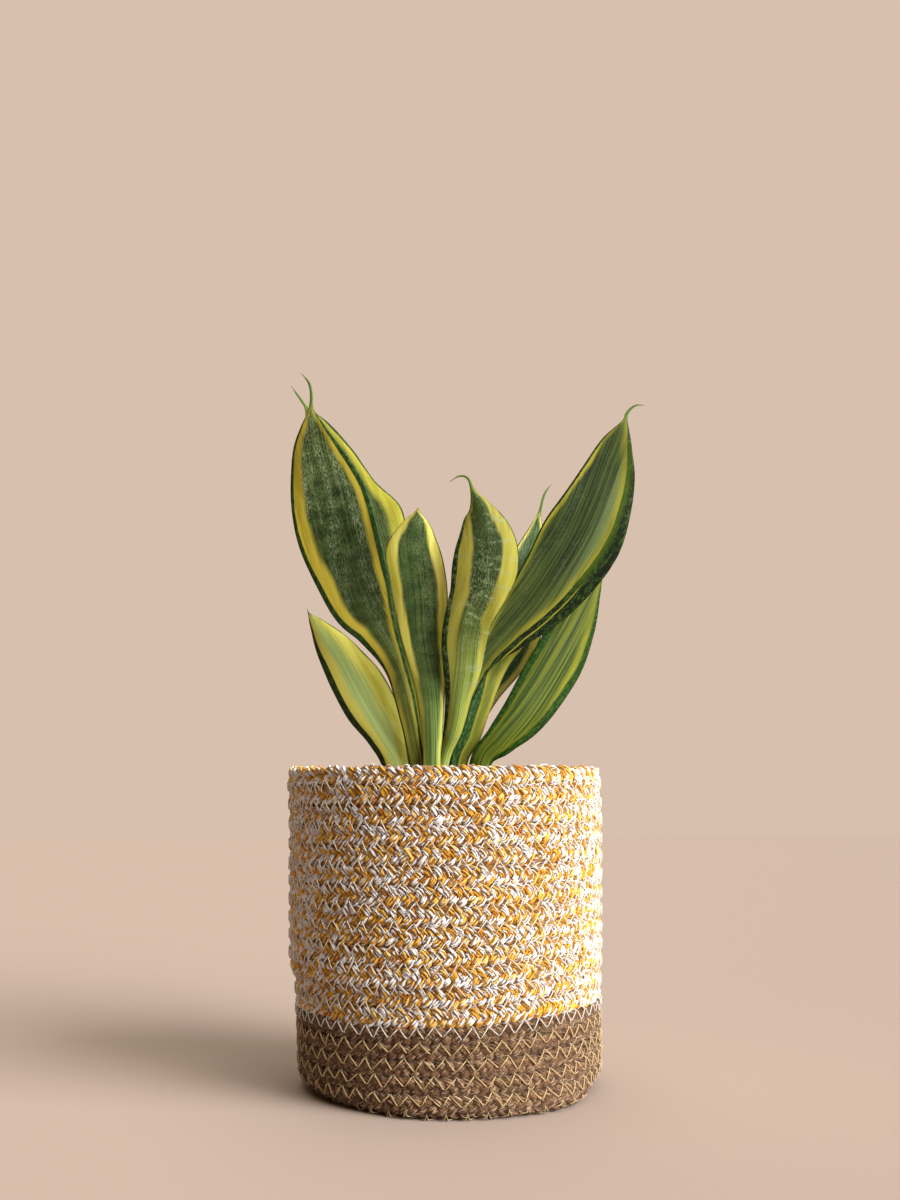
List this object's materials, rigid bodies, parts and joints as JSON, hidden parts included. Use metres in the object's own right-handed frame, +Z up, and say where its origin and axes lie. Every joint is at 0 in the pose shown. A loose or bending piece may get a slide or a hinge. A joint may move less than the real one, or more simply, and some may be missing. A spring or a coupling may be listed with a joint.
{
  "type": "potted golden hahnii snake plant",
  "caption": "Golden hahnii snake plant with yellow-banded leaves, growing in a plastic grow pot that stands in a sewn basket of braided cotton and jute.",
  "frame": {"origin": "centre of the basket's flat underside", "axes": "+Z up; the plant's front is -Y, and +X is to the right of a viewer who looks at the front"},
  "size_m": [0.1747, 0.155, 0.3504],
  "materials": {
    "cotton_braid": "amber and white cotton braid, matt",
    "jute_braid": "natural brown jute braid, matt and hairy",
    "pot_plastic": "dark brown moulded plastic, satin",
    "potting_soil": "crumbly potting soil with white perlite",
    "leaf": "waxy leaf, dark green and yellow bands, satin"
  },
  "bodies": {
    "root": {"jute_base": "jute_braid", "cotton_wall": "cotton_braid", "grow_pot": "pot_plastic", "soil": "potting_soil", "leaf_1": "leaf", "leaf_2": "leaf", "leaf_3": "leaf", "leaf_4": "leaf", "leaf_5": "leaf", "leaf_6": "leaf", "leaf_7": "leaf", "leaf_8": "leaf", "leaf_9": "leaf"}
  },
  "joints": []
}
